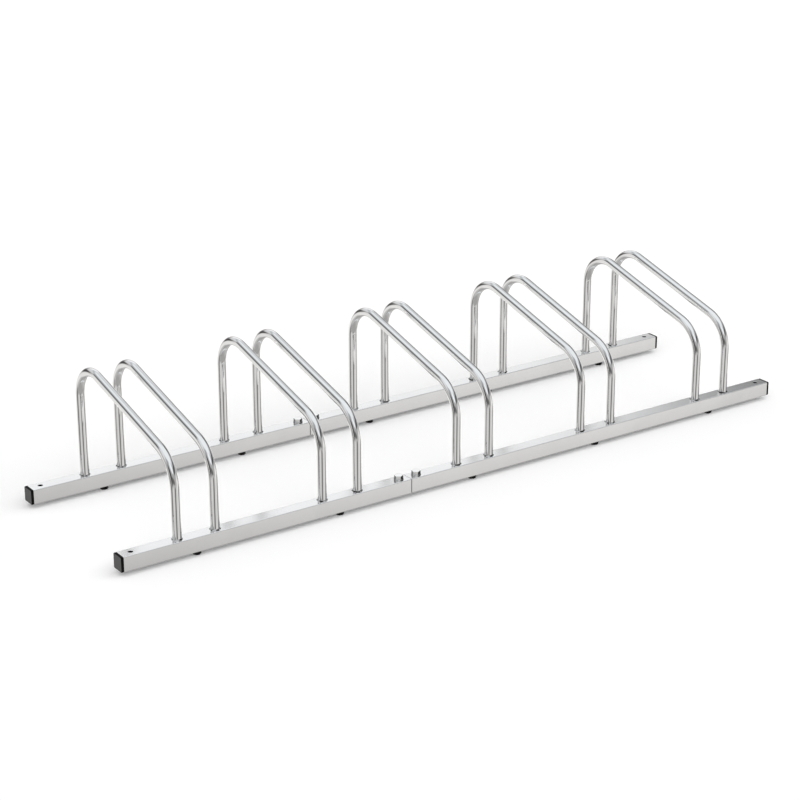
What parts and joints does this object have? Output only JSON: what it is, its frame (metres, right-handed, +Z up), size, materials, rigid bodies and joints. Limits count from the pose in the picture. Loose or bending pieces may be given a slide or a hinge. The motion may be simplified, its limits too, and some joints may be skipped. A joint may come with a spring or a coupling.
{
  "type": "floor bike rack",
  "caption": "Low floor bike rack: two parallel square rails on small feet carry pairs of bent tube loops that hold bicycle wheels upright.",
  "frame": {"origin": "on the floor, below the middle of the rack: half way along the rails and half way between them", "axes": "+X along the rails towards the longer sections, +Y from the front rail to the rear rail with the tall legs, +Z up"},
  "size_m": [1.309, 0.329, 0.2299],
  "materials": {
    "rail_steel": "satin zinc-plated square tube",
    "loop_steel": "bright zinc-plated round tube",
    "weld_metal": "rippled weld bead, plated over",
    "cap_plastic": "black moulded plastic",
    "foot_rubber": "black rubber",
    "sleeve_steel": "plain zinc-plated",
    "fastener_steel": "zinc-plated"
  },
  "bodies": {
    "root": {"captive_nuts": "fastener_steel", "end_cap_front_left": "cap_plastic", "end_cap_front_right": "cap_plastic", "end_cap_rear_left": "cap_plastic", "end_cap_rear_right": "cap_plastic", "foot_front_1": "foot_rubber", "foot_front_2": "foot_rubber", "foot_front_3": "foot_rubber", "foot_front_4": "foot_rubber", "foot_front_5": "foot_rubber", "foot_rear_1": "foot_rubber", "foot_rear_2": "foot_rubber", "foot_rear_3": "foot_rubber", "foot_rear_4": "foot_rubber", "foot_rear_5": "foot_rubber", "rail_front_left": "rail_steel", "rail_front_right": "rail_steel", "rail_rear_left": "rail_steel", "rail_rear_right": "rail_steel", "splice_bolts": "fastener_steel", "splice_sleeve_front": "sleeve_steel", "splice_sleeve_rear": "sleeve_steel", "splice_washers": "fastener_steel", "welds_front_left": "weld_metal", "welds_front_right": "weld_metal", "welds_rear_left": "weld_metal", "welds_rear_right": "weld_metal", "wheel_loop_1_left": "loop_steel", "wheel_loop_1_right": "loop_steel", "wheel_loop_2_left": "loop_steel", "wheel_loop_2_right": "loop_steel", "wheel_loop_3_left": "loop_steel", "wheel_loop_3_right": "loop_steel", "wheel_loop_4_left": "loop_steel", "wheel_loop_4_right": "loop_steel", "wheel_loop_5_left": "loop_steel", "wheel_loop_5_right": "loop_steel"}
  },
  "joints": []
}
